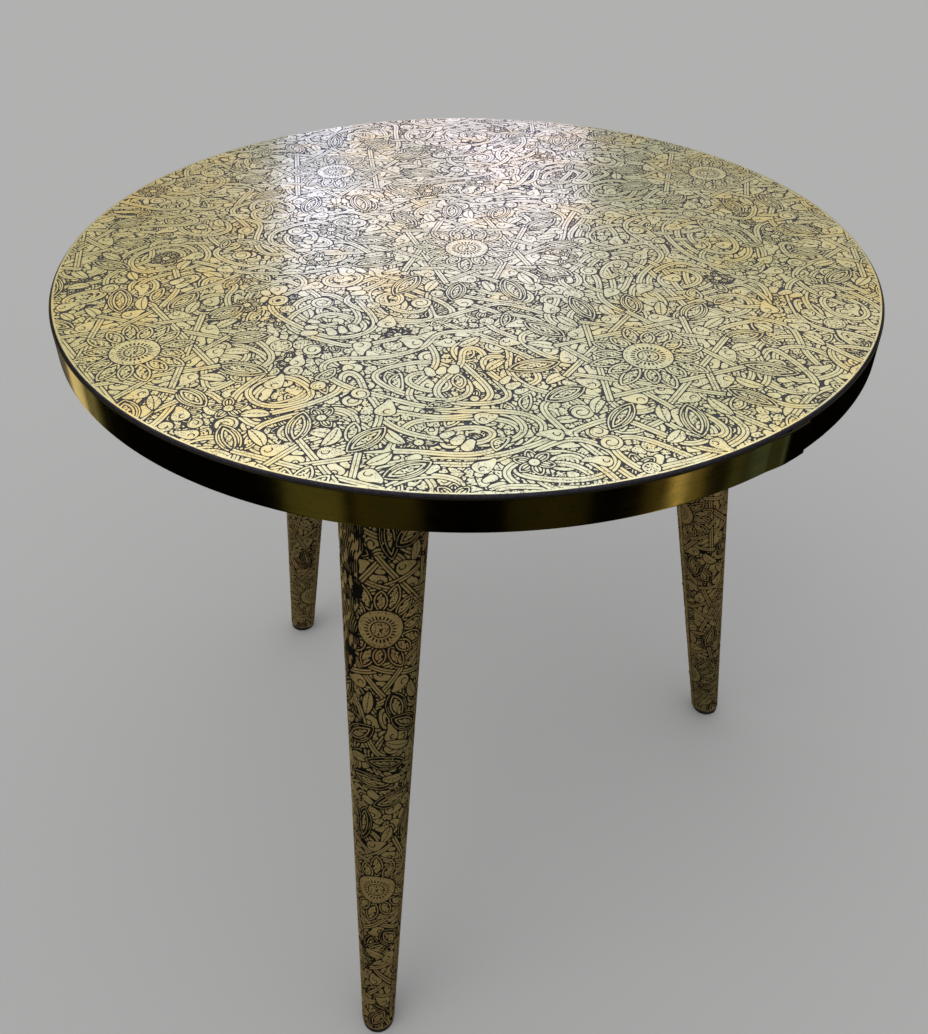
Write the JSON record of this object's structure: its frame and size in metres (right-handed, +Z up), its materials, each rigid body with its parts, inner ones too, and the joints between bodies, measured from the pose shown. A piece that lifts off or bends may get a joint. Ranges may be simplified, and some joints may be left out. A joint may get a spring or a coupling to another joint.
{
  "type": "brass tray table",
  "caption": "Round side table with splayed tapered legs, its wooden top and legs clad in embossed brass sheet and its edge bound in a smooth brass strip.",
  "frame": {"origin": "on the floor under the centre of the round top", "axes": "+Z up; -Y towards the viewer, near the front leg; +X to the viewer's right"},
  "size_m": [0.5078, 0.5079, 0.52],
  "materials": {
    "embossed_brass": "embossed, polished high spots over dark patina",
    "edge_brass": "polished, faintly brushed along its length",
    "leg_brass": "embossed, antique brown patina",
    "board_wood": "dark stained board",
    "leg_wood": "turned, unfinished",
    "plate_steel": "stamped, zinc plated",
    "fastener_steel": "zinc plated",
    "foot_rubber": "matt black",
    "pin_brass": "dull brass"
  },
  "bodies": {
    "root": {"top_sheet": "embossed_brass", "edge_band": "edge_brass", "core_board": "board_wood", "band_pin_1": "pin_brass", "band_pin_2": "pin_brass", "band_pin_3": "pin_brass", "band_pin_4": "pin_brass", "band_pin_5": "pin_brass", "band_pin_6": "pin_brass", "leg_sleeve_front": "leg_brass", "leg_core_front": "leg_wood", "leg_bolt_front": "fastener_steel", "seam_pin_front_1": "pin_brass", "seam_pin_front_2": "pin_brass", "seam_pin_front_3": "pin_brass", "seam_pin_front_4": "pin_brass", "leg_plate_front": "plate_steel", "plate_screw_front_1": "fastener_steel", "plate_screw_front_2": "fastener_steel", "plate_screw_front_3": "fastener_steel", "plate_screw_front_4": "fastener_steel", "foot_glide_front": "foot_rubber", "glide_nail_front": "fastener_steel", "leg_sleeve_right": "leg_brass", "leg_core_right": "leg_wood", "leg_bolt_right": "fastener_steel", "seam_pin_right_1": "pin_brass", "seam_pin_right_2": "pin_brass", "seam_pin_right_3": "pin_brass", "seam_pin_right_4": "pin_brass", "leg_plate_right": "plate_steel", "plate_screw_right_1": "fastener_steel", "plate_screw_right_2": "fastener_steel", "plate_screw_right_3": "fastener_steel", "plate_screw_right_4": "fastener_steel", "foot_glide_right": "foot_rubber", "glide_nail_right": "fastener_steel", "leg_sleeve_left": "leg_brass", "leg_core_left": "leg_wood", "leg_bolt_left": "fastener_steel", "seam_pin_left_1": "pin_brass", "seam_pin_left_2": "pin_brass", "seam_pin_left_3": "pin_brass", "seam_pin_left_4": "pin_brass", "leg_plate_left": "plate_steel", "plate_screw_left_1": "fastener_steel", "plate_screw_left_2": "fastener_steel", "plate_screw_left_3": "fastener_steel", "plate_screw_left_4": "fastener_steel", "foot_glide_left": "foot_rubber", "glide_nail_left": "fastener_steel"}
  },
  "joints": []
}
